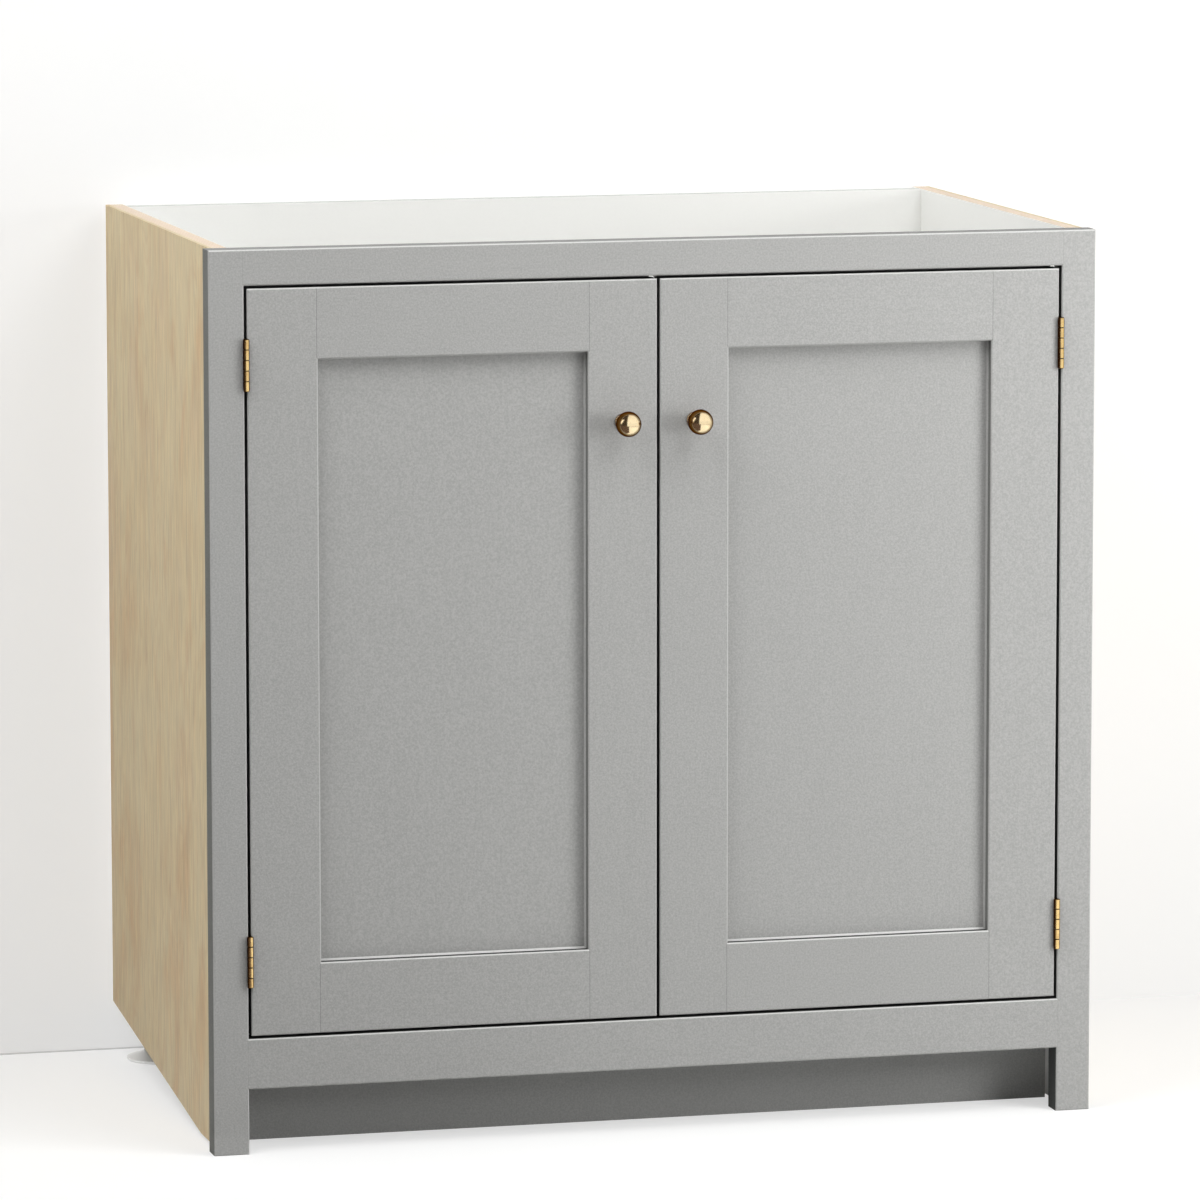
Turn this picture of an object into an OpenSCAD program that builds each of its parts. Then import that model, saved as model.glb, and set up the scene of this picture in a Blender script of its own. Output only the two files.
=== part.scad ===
// In-frame base cabinet with two shaker doors, an open top and a recessed plinth.
// Y = 0 of every drawing below is the front of the face frame, and at_face()
// then moves it so that the origin is at the bottom centre of the whole cabinet.

/* [Cabinet] */
// Width over the face frame
cabinet_w = 900; // [700:10:1200]
// Height from the floor to the top edge, without a worktop
cabinet_h = 890; // [760:10:1000]
// Depth of the side panels behind the face frame
side_depth = 520; // [440:10:640]

/* [Face frame] */
// Thickness of the face frame
frame_t = 25; // [24:1:32]
// Width of the two upright stiles
frame_stile_w = 35; // [32:1:60]
// Height of the rail over the doors
top_rail_h = 35; // [30:1:60]
// Height of the rail under the doors
bottom_rail_h = 50; // [40:1:80]
// Height of the open toe space under the bottom rail
toe_h = 65; // [55:1:110]
// Length of the tenons on the frame rails
tenon_l = 20; // [12:1:25]
// Thickness of the tenons on the frame rails
tenon_t = 9; // [6:1:12]
// Shoulder above and below each tenon
tenon_shoulder = 8; // [5:1:12]
// Chamfer that eases every painted front edge
ease = 1.2; // [0.6:0.1:2]

/* [Carcass] */
// Thickness of the side panels
side_t = 18; // [16:1:22]
// How far the side panels stand in from the edge of the face frame
side_inset = 6; // [2:1:9]
// Gap between the floor and the front of the side panels
side_lift = 4; // [2:1:8]
// Length of the level part of the side panels' lower edge
side_level = 70; // [50:5:100]
// Height of the side panels' lower rear corner
side_rear_lift = 55; // [30:1:70]
// Thickness of the base panel
base_t = 18; // [16:1:22]
// Thickness of the back panel
back_t = 15; // [12:1:18]
// Scribing recess behind the back panel
back_recess = 16.5; // [8:0.5:30]
// Dowel diameter
dowel_d = 8; // [6:1:8]
// Length of dowel in the side panels or the frame
dowel_in = 12; // [8:1:13]
// Length of dowel in the edge of the joined panel
dowel_out = 18; // [12:1:24]
// Play at the ends of a dowel hole
dowel_play = 1; // [0.5:0.5:2]

/* [Shelf] */
// Thickness of the shelf
shelf_t = 18; // [16:1:22]
// Height of the shelf's underside above the base panel
shelf_rise = 354; // [250:1:450]
// Depth of the shelf
shelf_d = 430; // [300:10:440]
// Play between the shelf and the side panels
shelf_play = 1; // [0.5:0.5:2]
// Diameter of the shelf pegs
peg_d = 5; // [5:1:6]
// Length of peg inside the side panel
peg_in = 8; // [6:1:9]
// Length of peg under the shelf
peg_out = 9; // [6:1:12]
// Distance of the pegs from the shelf's front and rear edges
peg_inset = 45; // [30:1:80]
// Number of peg holes in each column
peg_rows = 7; // [3:2:9]
// Spacing of the peg holes
peg_pitch = 32; // [25:1:32]

/* [Plinth] */
// Distance from the face of the frame back to the plinth
plinth_set = 70; // [50:1:100]
// Thickness of the plinth board
plinth_t = 18; // [15:1:22]
// Section of the corner blocks behind the plinth
block_w = 30; // [20:1:40]

/* [Doors] */
// Gap between a door and the frame
door_gap = 3; // [2.6:0.1:4]
// Gap between the two doors
meet_gap = 3; // [2:0.1:4]
// Thickness of the doors
door_t = 22; // [20:1:23]
// Width of the door stiles
door_stile_w = 70; // [60:1:100]
// Height of the door rails
door_rail_h = 70; // [60:1:120]
// Depth of the recess in front of the door panel
panel_set = 11; // [9:0.5:12]
// Thickness of the door panel
panel_t = 6; // [4:0.5:6]
// Depth of the groove that holds the door panel
groove_d = 10; // [8:1:12]
// Play at the edge of the door panel
panel_play = 2; // [1:0.5:3]
// Size of the small bevel at the foot of the recess
foot_bevel = 1.8; // [1:0.1:2.5]

/* [Hinges] */
// Length of a hinge
hinge_l = 51; // [45:1:76]
// Distance from a door's end to the middle of its hinge
hinge_end = 74; // [50:1:120]
// Diameter of the hinge barrel
barrel_d = 6.2; // [5.6:0.1:6.6]
// Distance of the hinge axis in front of the frame
axis_proud = 3; // [2.8:0.1:4]
// Diameter of the hinge pin
pin_d = 3; // [2:0.1:3.4]
// Width of a leaf from the axis
leaf_w = 19; // [17:1:22]
// Space left between the closed leaves
leaf_space = 0.3; // [0.2:0.1:0.6]
// Number of knuckles
knuckles = 5; // [3:2:7]
// Gap between two knuckles
knuckle_gap = 0.3; // [0.2:0.1:0.5]

/* [Screws] */
// Head diameter of the hinge screws
hinge_head_d = 5.4; // [5:0.1:5.6]
// Shank diameter of the hinge screws
hinge_shank_d = 3; // [2.6:0.1:3]
// Length of the hinge screws
hinge_screw_l = 18; // [12:1:20]
// Head diameter of the catch, strike and leg screws
fix_head_d = 6.4; // [5.6:0.1:7]
// Shank diameter of the catch, strike and leg screws
fix_shank_d = 3.2; // [3:0.1:3.6]
// Length of the catch, strike and leg screws
fix_screw_l = 14; // [10:1:16]

/* [Knobs] */
// Diameter of the knob's ball
ball_d = 25; // [20:1:32]
// Reach of the knob in front of the door
knob_reach = 35.5; // [32:0.5:42]
// Diameter of the rose on the door
rose_d = 16; // [14:1:20]
// Thickness of the rose
rose_t = 2; // [1.5:0.5:3]
// Least diameter of the neck
neck_d = 9; // [8:0.5:11]
// How far the neck flares out at each end
neck_flare = 2; // [1:0.5:3]
// Distance from the door's top down to the knob
knob_drop = 140; // [100:1:200]
// Diameter of the knob's screw
knob_screw_d = 4; // [3:1:5]
// Length of the thread in the knob
knob_thread = 10; // [8:1:12]

/* [Stops and catches] */
// Thickness of the stop laths behind the top rail
lath_t = 12; // [10:1:18]
// Height of the stop laths
lath_h = 24; // [20:1:26]
// How far the stop laths reach down behind the doors
lath_cover = 1.3; // [1:0.1:2]
// Length of the stop laths' screws
lath_screw_l = 30; // [24:1:32]
// Distance of each catch from the middle of the cabinet
catch_x = 40; // [30:1:60]
// Width of a catch
catch_w = 30; // [24:1:36]
// Height of a catch's housing
catch_h = 16; // [14:1:20]
// Gap from the strike plate to the catch
catch_gap = 0.3; // [0.2:0.1:0.5]
// Diameter of the strike plate
strike_d = 16; // [14:1:20]
// Thickness of the strike plate
strike_t = 1.5; // [1.5:0.1:2]

/* [Rear feet] */
// Diameter of a foot's disc
foot_d = 70; // [50:1:80]
// Thickness of the disc's rim
foot_rim = 3; // [2:0.5:5]
// Height of the crown of the disc
foot_crown = 9; // [6:0.5:12]
// Distance across the flats of the grip
grip_w = 30; // [26:1:34]
// Height of the top of the grip
grip_top = 21; // [16:1:26]
// Diameter of the foot's screw
screw_d = 20; // [14:1:21]
// Radial clearance of the foot's screw
screw_fit = 0.08; // [0.02:0.01:0.1]
// Travel of the foot's screw
foot_travel = 25; // [15:1:30]
// Length of screw left in the socket when the foot is wound out
screw_hold = 30; // [20:1:40]
// Outer diameter of the socket
socket_d = 28; // [26:1:30]
// Distance of the foot's axis from the side panel
foot_in = 23; // [22:1:30]
// Distance of the foot's axis from the back of the cabinet
foot_rear = 45; // [42:1:60]
// Thickness of the socket's flange
flange_t = 4; // [3:0.5:6]
// Depth of the socket's flange from front to back
flange_d = 56; // [50:1:60]

/* [Hidden] */
$fn = 64;
half_w = cabinet_w / 2;
open_half = half_w - frame_stile_w;
open_bottom = toe_h + bottom_rail_h;
open_top = cabinet_h - top_rail_h;
rear_y = frame_t + side_depth;
face_y = (knob_reach - rear_y) / 2;
side_out = half_w - side_inset;
side_in = side_out - side_t;
base_z = open_bottom - base_t;
back_y = rear_y - back_recess - back_t;
joint_fit = 0.1;
cut_over = 1;
tenon_y = (frame_t - tenon_t) / 2;

shelf_z = open_bottom + shelf_rise;
shelf_y = back_y - shelf_play - shelf_d;
peg_hole = peg_d / 2 + joint_fit;
peg_collar_w = 2;
peg_collar_d = peg_d + 2 * peg_collar_w;
peg_collar_t = 1;
peg_play = 2;
peg_columns = [shelf_y + peg_inset, shelf_y + shelf_d - peg_inset];
peg_z = shelf_z - peg_d / 2;
peg_levels = [for (i = [0 : peg_rows - 1]) peg_z + (i - (peg_rows - 1) / 2) * peg_pitch];

door_edge = open_half - door_gap;
door_w = door_edge - meet_gap / 2;
door_h = open_top - open_bottom - 2 * door_gap;
door_z = open_bottom + door_gap;
groove_t = panel_t + joint_fit;
knob_x = door_w - door_stile_w / 2;
knob_fit = 0.3;
knob_head_d = 8;
knob_head_h = 2.4;
cross_w = 1;
cross_deep = 1;

slot_w = 0.8;
slot_share = 0.6;
tip_d = 0.6;
screw_relief = 0.5;

axis_x = open_half - door_gap / 2;
barrel_r = barrel_d / 2;
leaf_t = (door_gap - leaf_space) / 2;
knuckle_l = (hinge_l - (knuckles - 1) * knuckle_gap) / knuckles;
knuckle_step = knuckle_l + knuckle_gap;
sweep = 0.2;
pin_fit = 0.01;
run_fit = 0.05;
barrel_ease = 0.6;
knuckle_ease = 0.35;
screw_stagger = 5;
screw_edge = 5;
screw_end = 11;
hinge_screws = [
    [leaf_w - screw_edge - screw_stagger, hinge_l / 2 - screw_end],
    [leaf_w - screw_edge, screw_end - hinge_l / 2]
];
hinge_levels = [hinge_end, door_h - hinge_end];

foot_x = side_in - foot_in;
foot_y = rear_y - foot_rear;
foot_ease = 1;
socket_bore_top = base_z - flange_t;
screw_play = 4;
screw_top = socket_bore_top - screw_play;
socket_z = screw_top - foot_travel - screw_hold;
flange_w = 2 * foot_in;
leg_screw_edge = 6;
leg_screw_x = flange_w / 2 - leg_screw_edge;
leg_screw_y = flange_d / 2 - leg_screw_edge;
rib_t = 3;

// Even steps from the first place to the last
function row(first, last, count) = [for (i = [0 : count - 1]) first + i * (last - first) / (count - 1)];

lath_gap = 0.3;
lath_low = open_top - door_gap - lath_cover;
lath_top = lath_low + lath_h;
lath_back = frame_t + lath_t;
lath_mid = 4;
lath_end = open_half - 5;
lath_screw_end = 35;
lath_screw_z = (open_top + lath_top) / 2;
lath_screws = row(catch_x + catch_w, lath_end - lath_screw_end, 3);

catch_play = 0.7;
catch_y = door_t + strike_t + catch_gap;
catch_z = lath_low - catch_play - max(catch_h, strike_d) / 2;
catch_tab_h = 20;
catch_tab_t = 3;
catch_back = lath_back + catch_tab_t;
catch_screw_edge = 6;
catch_screw_dx = catch_w / 2 - catch_screw_edge;
catch_screw_z = lath_low + catch_tab_h / 2;
pole_t = 1.5;
pole_edge = 5;
pole_rise = 3.2;
pole_depth = 12;
strike_x = door_edge - catch_x;
strike_z = catch_z - door_z;

base_dowel_end = 58;
back_dowel_end = 120;
stile_dowel_end = 45;
rail_dowel_end = 170;
base_dowels = row(frame_t + base_dowel_end, back_y - base_dowel_end, 3);
back_dowels = row(base_z + back_dowel_end, cabinet_h - back_dowel_end, 3);
frame_dowels_z = row(open_bottom + stile_dowel_end, open_top - stile_dowel_end, 4);
frame_dowels_x = row(rail_dowel_end - side_in, side_in - rail_dowel_end, 3);

paint = [0.72, 0.72, 0.71];
maple = [0.80, 0.72, 0.56];
white = [0.93, 0.94, 0.92];
softwood = [0.85, 0.74, 0.55];
brass = [0.78, 0.60, 0.30];
steel = [0.70, 0.71, 0.72];
grey_plastic = [0.80, 0.80, 0.79];

// Placing

// Moves a drawing whose Y = 0 is the front of the face frame
module at_face() {
    translate([0, face_y, 0])
        children();
}

// Draws a left part on its own side, or mirrored for the right
module on_side(right) {
    mirror([right ? 1 : 0, 0, 0])
        at_face()
            children();
}

// Origin at a door's lower hinge corner, X running towards its meeting edge
module on_door(right) {
    on_side(right)
        translate([-door_edge, 0, door_z])
            children();
}

// Origin on a hinge's axis at the middle of its length, X running into the door
module on_hinge(right, upper) {
    on_side(right)
        translate([-axis_x, -axis_proud, door_z + hinge_levels[upper ? 1 : 0]])
            children();
}

// Turns an outline drawn in Y and Z into a bar that runs along X
module bar_x(length) {
    rotate([90, 0, 90])
        linear_extrude(height = length)
            children();
}

// A cylinder along X, from x = 0
module rod_x(d, length) {
    rotate([0, 90, 0])
        cylinder(d = d, h = length);
}

// A cylinder along Y, from y = 0
module rod_y(d, length) {
    rotate([-90, 0, 0])
        cylinder(d = d, h = length);
}

// A board with its front face at Y = 0 and its four front edges eased
module eased_board(w, t, h) {
    intersection() {
        linear_extrude(height = h)
            polygon([[0, ease], [ease, 0], [w - ease, 0], [w, ease], [w, t], [0, t]]);
        bar_x(w)
            polygon([[ease, 0], [t, 0], [t, h], [ease, h], [0, h - ease], [0, ease]]);
    }
}

// A countersunk screw pointing along +Z, with the flat of its head at Z = 0
module screw(head_d, shank_d, length) {
    head_h = (head_d - shank_d) / 2;
    difference() {
        union() {
            cylinder(d1 = head_d, d2 = shank_d, h = head_h);
            cylinder(d = shank_d, h = length - shank_d);
            translate([0, 0, length - shank_d])
                cylinder(d1 = shank_d, d2 = tip_d, h = shank_d);
        }
        translate([-head_d, -slot_w / 2, -cut_over])
            cube([2 * head_d, slot_w, cut_over + head_h * slot_share]);
    }
}

// The hole that such a screw leaves
module screw_hole(head_d, shank_d, length) {
    union() {
        translate([0, 0, -cut_over])
            cylinder(d = head_d + 2 * joint_fit, h = cut_over);
        cylinder(d1 = head_d + 2 * joint_fit, d2 = shank_d + 2 * joint_fit, h = (head_d - shank_d) / 2);
        cylinder(d = shank_d + 2 * joint_fit, h = length + screw_relief);
    }
}

// Face frame

// Tenons of the two rails as they stand in the left stile, grown by a fit
module frame_tenon(z, h, fit) {
    translate([-open_half - tenon_l - fit, tenon_y - fit, z + tenon_shoulder - fit])
        cube([tenon_l + fit + joint_fit, tenon_t + 2 * fit, h - 2 * tenon_shoulder + 2 * fit]);
}

module frame_stile_blank() {
    translate([-half_w, 0, 0])
        eased_board(frame_stile_w, frame_t, cabinet_h);
}

module frame_stile() {
    difference() {
        frame_stile_blank();
        frame_tenon(open_top, top_rail_h, joint_fit);
        frame_tenon(toe_h, bottom_rail_h, joint_fit);
        for (z = frame_dowels_z)
            translate([-side_out + side_t / 2, frame_t - dowel_in - dowel_play, z])
                rod_y(dowel_d + 2 * joint_fit, dowel_in + dowel_play + cut_over);
        for (level = hinge_levels, s = hinge_screws)
            translate([-open_half + leaf_t, s[0] - axis_proud, door_z + level + s[1]])
                rotate([0, -90, 0])
                    screw_hole(hinge_head_d, hinge_shank_d, hinge_screw_l);
    }
}

module frame_rail(z, h) {
    difference() {
        union() {
            translate([-open_half - ease, 0, z])
                bar_x(2 * (open_half + ease))
                    polygon([[ease, 0], [frame_t, 0], [frame_t, h], [ease, h], [0, h - ease], [0, ease]]);
            frame_tenon(z, h, 0);
            mirror([1, 0, 0])
                frame_tenon(z, h, 0);
        }
        difference() {
            union() {
                frame_stile_blank();
                mirror([1, 0, 0])
                    frame_stile_blank();
            }
            frame_tenon(z, h, joint_fit);
            mirror([1, 0, 0])
                frame_tenon(z, h, joint_fit);
        }
    }
}

module frame_left_stile() {
    color(paint)
        on_side(false)
            frame_stile();
}

module frame_right_stile() {
    color(paint)
        on_side(true)
            frame_stile();
}

module frame_top_rail() {
    color(paint)
        at_face()
            difference() {
                frame_rail(open_top, top_rail_h);
                for (side = [0, 1])
                    mirror([side, 0, 0]) {
                        lath_screw_places()
                            screw_hole(fix_head_d, fix_shank_d, lath_screw_l);
                        catch_screw_places()
                            screw_hole(fix_head_d, fix_shank_d, fix_screw_l);
                    }
            }
}

module frame_bottom_rail() {
    color(paint)
        at_face()
            difference() {
                frame_rail(toe_h, bottom_rail_h);
                for (x = frame_dowels_x)
                    translate([x, frame_t - dowel_in - dowel_play, base_z + base_t / 2])
                        rod_y(dowel_d + 2 * joint_fit, dowel_in + dowel_play + cut_over);
            }
}

// Carcass

// The left side panel with its level toe, tapered lower edge and peg holes
module side_panel() {
    difference() {
        translate([-side_out, 0, 0])
            bar_x(side_t)
                polygon([
                    [frame_t, side_lift],
                    [frame_t + side_level, side_lift],
                    [rear_y, side_rear_lift],
                    [rear_y, cabinet_h],
                    [frame_t, cabinet_h]
                ]);
        for (y = base_dowels)
            translate([-side_in - dowel_in - dowel_play, y, base_z + base_t / 2])
                rod_x(dowel_d + 2 * joint_fit, dowel_in + dowel_play + cut_over);
        for (z = back_dowels)
            translate([-side_in - dowel_in - dowel_play, back_y + back_t / 2, z])
                rod_x(dowel_d + 2 * joint_fit, dowel_in + dowel_play + cut_over);
        for (z = frame_dowels_z)
            translate([-side_out + side_t / 2, frame_t - cut_over, z])
                rod_y(dowel_d + 2 * joint_fit, dowel_out + dowel_play + cut_over);
        for (y = peg_columns, z = peg_levels)
            translate([-side_in - peg_in - peg_play, y, z])
                rod_x(2 * peg_hole, peg_in + peg_play + cut_over);
    }
}

module left_side_panel() {
    color(maple)
        on_side(false)
            side_panel();
}

module right_side_panel() {
    color(maple)
        on_side(true)
            side_panel();
}

module base_panel() {
    color(white)
        at_face()
            difference() {
                translate([-side_in, frame_t, base_z])
                    cube([2 * side_in, back_y - frame_t, base_t]);
                for (side = [0, 1], y = base_dowels)
                    mirror([side, 0, 0])
                        translate([-side_in - cut_over, y, base_z + base_t / 2])
                            rod_x(dowel_d + 2 * joint_fit, dowel_out + dowel_play + cut_over);
                for (x = frame_dowels_x)
                    translate([x, frame_t - cut_over, base_z + base_t / 2])
                        rod_y(dowel_d + 2 * joint_fit, dowel_out + dowel_play + cut_over);
                for (side = [0, 1])
                    mirror([side, 0, 0])
                        leg_screw_places()
                            screw_hole(fix_head_d, fix_shank_d, fix_screw_l);
            }
}

module back_panel() {
    color(white)
        at_face()
            difference() {
                translate([-side_in, back_y, base_z])
                    cube([2 * side_in, back_t, cabinet_h - base_z]);
                for (side = [0, 1], z = back_dowels)
                    mirror([side, 0, 0])
                        translate([-side_in - cut_over, back_y + back_t / 2, z])
                            rod_x(dowel_d + 2 * joint_fit, dowel_out + dowel_play + cut_over);
                for (side = [0, 1])
                    mirror([side, 0, 0])
                        leg_screw_places()
                            screw_hole(fix_head_d, fix_shank_d, fix_screw_l);
            }
}

module carcass_dowels() {
    color(softwood)
        for (side = [false, true])
            on_side(side) {
                for (y = base_dowels)
                    translate([-side_in - dowel_in, y, base_z + base_t / 2])
                        rod_x(dowel_d, dowel_in + dowel_out);
                for (z = back_dowels)
                    translate([-side_in - dowel_in, back_y + back_t / 2, z])
                        rod_x(dowel_d, dowel_in + dowel_out);
            }
}

module frame_dowels() {
    color(softwood) {
        for (side = [false, true])
            on_side(side)
                for (z = frame_dowels_z)
                    translate([-side_out + side_t / 2, frame_t - dowel_in, z])
                        rod_y(dowel_d, dowel_in + dowel_out);
        at_face()
            for (x = frame_dowels_x)
                translate([x, frame_t - dowel_in, base_z + base_t / 2])
                    rod_y(dowel_d, dowel_in + dowel_out);
    }
}

module shelf() {
    color(white)
        at_face()
            translate([-side_in + shelf_play, shelf_y, shelf_z])
                cube([2 * (side_in - shelf_play), shelf_d, shelf_t]);
}

module shelf_pegs() {
    color(steel)
        for (side = [false, true])
            on_side(side)
                for (y = peg_columns)
                    translate([-side_in, y, peg_z]) {
                        translate([-peg_in, 0, 0])
                            rod_x(peg_d, peg_in + peg_out);
                        intersection() {
                            rod_x(peg_collar_d, peg_collar_t);
                            translate([0, -peg_collar_d, peg_d / 2 - peg_collar_d])
                                cube([peg_collar_d, 2 * peg_collar_d, peg_collar_d]);
                        }
                    }
}

module plinth_board() {
    color(paint)
        at_face()
            translate([-side_in, plinth_set, 0])
                cube([2 * side_in, plinth_t, base_z]);
}

module plinth_blocks() {
    color(softwood)
        for (side = [false, true])
            on_side(side)
                translate([-side_in, plinth_set + plinth_t, side_lift])
                    cube([block_w, block_w, base_z - side_lift]);
}

// Rear feet

// The four screw places of the left foot's flange, each pointing up
module leg_screw_places() {
    for (dx = [-1, 1], dy = [-1, 1])
        translate([-foot_x + dx * leg_screw_x, foot_y + dy * leg_screw_y, base_z - flange_t])
            children();
}

module leg_socket() {
    difference() {
        union() {
            translate([-foot_x - flange_w / 2, foot_y - flange_d / 2, base_z - flange_t])
                cube([flange_w, flange_d, flange_t]);
            translate([-foot_x, foot_y, socket_z])
                cylinder(d = socket_d, h = base_z - socket_z);
            for (turn = [90, 270])
                translate([-foot_x, foot_y, base_z - flange_t])
                    rotate([0, 0, turn])
                        translate([0, rib_t / 2, 0])
                            rotate([90, 0, 0])
                                linear_extrude(height = rib_t)
                                    polygon([
                                        [0, 0],
                                        [flange_d / 2, 0],
                                        [socket_d / 2, socket_z - base_z + flange_t],
                                        [0, socket_z - base_z + flange_t]
                                    ]);
        }
        translate([-foot_x, foot_y, socket_z - cut_over])
            cylinder(d = screw_d + 2 * screw_fit, h = socket_bore_top - socket_z + cut_over);
        leg_screw_places()
            screw_hole(fix_head_d, fix_shank_d, fix_screw_l);
    }
}

module left_leg_socket() {
    color(grey_plastic)
        on_side(false)
            leg_socket();
}

module right_leg_socket() {
    color(grey_plastic)
        on_side(true)
            leg_socket();
}

module leg_screws() {
    color(steel)
        for (side = [false, true])
            on_side(side)
                leg_screw_places()
                    screw(fix_head_d, fix_shank_d, fix_screw_l);
}

// Disc, hexagonal grip and screw, turned from one outline
module rear_foot() {
    translate([-foot_x, foot_y, 0]) {
        rotate_extrude()
            polygon([
                [0, 0],
                [foot_d / 2 - foot_ease, 0],
                [foot_d / 2, foot_ease],
                [foot_d / 2, foot_rim],
                [grip_w / 2, foot_crown],
                [screw_d / 2, foot_crown],
                [screw_d / 2, screw_top - foot_ease],
                [screw_d / 2 - foot_ease, screw_top],
                [0, screw_top]
            ]);
        translate([0, 0, foot_rim])
            cylinder(d = grip_w / cos(30), h = grip_top - foot_rim, $fn = 6);
    }
}

module left_foot() {
    color(grey_plastic)
        on_side(false)
            rear_foot();
}

module right_foot() {
    color(grey_plastic)
        on_side(true)
            rear_foot();
}

// Stop laths

// The three screw places of the left lath, each pointing at the rail
module lath_screw_places() {
    for (x = lath_screws)
        translate([-x, lath_back, lath_screw_z])
            rotate([90, 0, 0])
                children();
}

// A lath behind the top rail whose lip stands just behind the top of the left door
module stop_lath() {
    difference() {
        translate([-lath_end, 0, 0])
            bar_x(lath_end - lath_mid)
                polygon([
                    [frame_t, lath_top],
                    [frame_t, open_top - lath_gap],
                    [door_t + lath_gap, open_top - lath_gap],
                    [door_t + lath_gap, lath_low],
                    [lath_back - ease, lath_low],
                    [lath_back, lath_low + ease],
                    [lath_back, lath_top - ease],
                    [lath_back - ease, lath_top]
                ]);
        lath_screw_places()
            screw_hole(fix_head_d, fix_shank_d, lath_screw_l);
        catch_screw_places()
            screw_hole(fix_head_d, fix_shank_d, fix_screw_l);
    }
}

module left_stop_lath() {
    color(paint)
        on_side(false)
            stop_lath();
}

module right_stop_lath() {
    color(paint)
        on_side(true)
            stop_lath();
}

module lath_screws() {
    color(steel)
        for (side = [false, true])
            on_side(side)
                lath_screw_places()
                    screw(fix_head_d, fix_shank_d, lath_screw_l);
}

// Magnetic catches

// The two screw places of the left catch, each pointing at the lath
module catch_screw_places() {
    for (dx = [-1, 1])
        translate([-catch_x + dx * catch_screw_dx, catch_back, catch_screw_z])
            rotate([90, 0, 0])
                children();
}

// A housing under the lath and the tab that screws to the lath's back
module catch_body() {
    difference() {
        translate([-catch_x - catch_w / 2, 0, 0])
            bar_x(catch_w)
                polygon([
                    [catch_y, catch_z - catch_h / 2 + ease],
                    [catch_y + ease, catch_z - catch_h / 2],
                    [catch_back - ease, catch_z - catch_h / 2],
                    [catch_back, catch_z - catch_h / 2 + ease],
                    [catch_back, lath_low + catch_tab_h],
                    [lath_back, lath_low + catch_tab_h],
                    [lath_back, catch_z + catch_h / 2],
                    [catch_y, catch_z + catch_h / 2]
                ]);
        catch_screw_places()
            screw_hole(fix_head_d, fix_shank_d, fix_screw_l);
        catch_plate_pair(joint_fit);
    }
}

// Two steel pole plates that face the strike plate
module catch_plate_pair(fit) {
    for (side = [-1, 1])
        translate([
            -catch_x - catch_w / 2 + pole_edge - fit,
            catch_y - fit,
            catch_z + side * pole_rise - pole_t / 2 - fit
        ])
            cube([catch_w - 2 * pole_edge + 2 * fit, pole_depth + 2 * fit, pole_t + 2 * fit]);
}

module left_catch() {
    color(white)
        on_side(false)
            catch_body();
}

module right_catch() {
    color(white)
        on_side(true)
            catch_body();
}

module catch_plates() {
    color(steel)
        for (side = [false, true])
            on_side(side)
                catch_plate_pair(0);
}

module catch_screws() {
    color(steel)
        for (side = [false, true])
            on_side(side)
                catch_screw_places()
                    screw(fix_head_d, fix_shank_d, fix_screw_l);
}

// Hinges

// A bored knuckle from z = 0, eased at both ends and more where it closes the barrel
module knuckle(closes_low, closes_high, bore_fit) {
    bore = pin_d / 2 + bore_fit;
    low = closes_low ? barrel_ease : knuckle_ease;
    high = closes_high ? barrel_ease : knuckle_ease;
    rotate_extrude()
        polygon([
            [bore, 0], [barrel_r - low, 0], [barrel_r, low],
            [barrel_r, knuckle_l - high], [barrel_r - high, knuckle_l], [bore, knuckle_l]
        ]);
}

// One leaf of a hinge. The frame leaf holds the even knuckles and the door leaf the odd ones
module leaf(first, bore_fit, flip) {
    difference() {
        mirror([flip ? 1 : 0, 0, 0])
            difference() {
                translate([-door_gap / 2, 0, -hinge_l / 2])
                    cube([leaf_t, leaf_w, hinge_l]);
                for (s = hinge_screws)
                    translate([-leaf_space / 2, s[0], s[1]])
                        rotate([0, -90, 0])
                            screw_hole(hinge_head_d, hinge_shank_d, hinge_screw_l);
            }
        for (i = [1 - first : 2 : knuckles - 1])
            translate([0, 0, i * knuckle_step - knuckle_gap - hinge_l / 2])
                cylinder(r = barrel_r + sweep, h = knuckle_l + 2 * knuckle_gap);
        translate([0, 0, -hinge_l])
            cylinder(d = pin_d + 2 * bore_fit, h = 2 * hinge_l);
    }
    for (i = [first : 2 : knuckles - 1])
        translate([0, 0, i * knuckle_step - hinge_l / 2])
            knuckle(i == 0, i == knuckles - 1, bore_fit);
}

module frame_leaf(right, upper) {
    color(brass)
        on_hinge(right, upper)
            leaf(0, pin_fit, false);
}

module door_leaf(right, upper) {
    color(brass)
        on_hinge(right, upper)
            leaf(1, run_fit, true);
}

module hinge_pin(right, upper) {
    color(brass)
        on_hinge(right, upper)
            translate([0, 0, -hinge_l / 2])
                cylinder(d = pin_d, h = hinge_l);
}

module left_upper_frame_leaf() {
    frame_leaf(false, true);
}

module left_upper_door_leaf() {
    door_leaf(false, true);
}

module left_upper_pin() {
    hinge_pin(false, true);
}

module left_lower_frame_leaf() {
    frame_leaf(false, false);
}

module left_lower_door_leaf() {
    door_leaf(false, false);
}

module left_lower_pin() {
    hinge_pin(false, false);
}

module right_upper_frame_leaf() {
    frame_leaf(true, true);
}

module right_upper_door_leaf() {
    door_leaf(true, true);
}

module right_upper_pin() {
    hinge_pin(true, true);
}

module right_lower_frame_leaf() {
    frame_leaf(true, false);
}

module right_lower_door_leaf() {
    door_leaf(true, false);
}

module right_lower_pin() {
    hinge_pin(true, false);
}

module frame_hinge_screws() {
    color(brass)
        for (side = [false, true], upper = [false, true], s = hinge_screws)
            on_hinge(side, upper)
                translate([-leaf_space / 2, s[0], s[1]])
                    rotate([0, -90, 0])
                        screw(hinge_head_d, hinge_shank_d, hinge_screw_l);
}

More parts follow.
